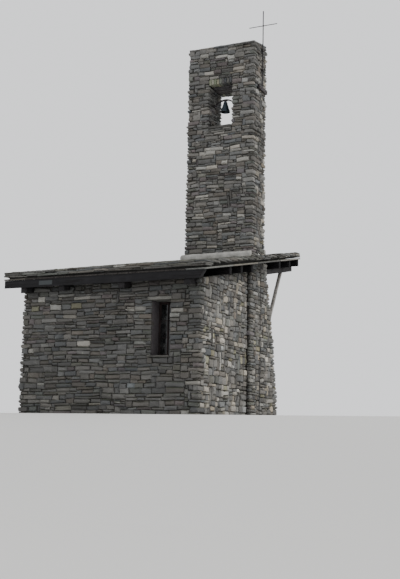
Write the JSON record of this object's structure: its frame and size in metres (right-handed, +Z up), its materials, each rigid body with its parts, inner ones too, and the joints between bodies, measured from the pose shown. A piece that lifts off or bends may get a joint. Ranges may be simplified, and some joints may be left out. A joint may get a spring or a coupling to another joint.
{
  "type": "bell tower",
  "caption": "Slender rubble-stone bell tower with a swinging bell and an iron cross, rising from the corner of a small stone chapel with a slab roof.",
  "frame": {"origin": "on the ground at the centre of the tower's foot", "axes": "+Z up; the chapel's window wall faces -Y and the porch under the high side of the roof faces +Y; +X to the right"},
  "size_m": [7.145, 7.93, 13.6],
  "materials": {
    "rubble_stone": "matte",
    "dressed_slab": "matte",
    "roof_slab": "matte",
    "pale_stone": "matte",
    "mortar": "matte",
    "dark_timber": "matte",
    "grey_timber": "matte",
    "brown_timber": "satin",
    "window_glass": "gloss",
    "zinc": "matte",
    "dark_iron": "matte",
    "cross_iron": "matte",
    "bronze": "satin"
  },
  "bodies": {
    "building": {"tower_foot": "rubble_stone", "tower_shaft": "rubble_stone", "bell_jamb_left": "rubble_stone", "bell_jamb_right": "rubble_stone", "tower_head": "rubble_stone", "tower_coping": "rubble_stone", "bell_sill": "dressed_slab", "soldier_lintel": "pale_stone", "tower_collar": "mortar", "front_wall_left": "rubble_stone", "front_wall_right": "rubble_stone", "front_wall_below": "rubble_stone", "front_wall_over": "rubble_stone", "left_wall": "rubble_stone", "right_wall": "rubble_stone", "rear_wall_left": "rubble_stone", "rear_wall_right": "rubble_stone", "rear_wall_over_door": "rubble_stone", "floor_slab": "dressed_slab", "window_lintel": "dressed_slab", "window_sill": "dressed_slab", "window_frame": "brown_timber", "window_glass": "window_glass", "door_lintel": "dressed_slab", "door_frame": "brown_timber", "door_boards": "brown_timber", "door_threshold": "dressed_slab", "buttress_right": "rubble_stone", "buttress_left": "rubble_stone", "strut_right": "grey_timber", "strut_left": "grey_timber", "roof_rafters": "dark_timber", "eave_beam": "dark_timber", "eave_plate": "zinc", "roof_purlins": "dark_timber", "roof_boards": "dark_timber", "roof_slabs": "roof_slab", "verge_slabs": "roof_slab", "bell_bearings": "dark_iron", "cross_upright": "cross_iron", "cross_bar": "cross_iron", "cross_brackets": "dark_iron", "earth_rod": "cross_iron"},
    "bell_swing_body": {"bell_headstock": "dark_iron", "bell": "bronze", "clapper": "dark_iron"}
  },
  "joints": [
    {"name": "bell_swing", "type": "hinge", "parent": "building", "child": "bell_swing_body", "pos_m": [-0.015, -0.1, 10.405], "axis": [1, 0, 0], "range_deg": [-60, 60]}
  ]
}
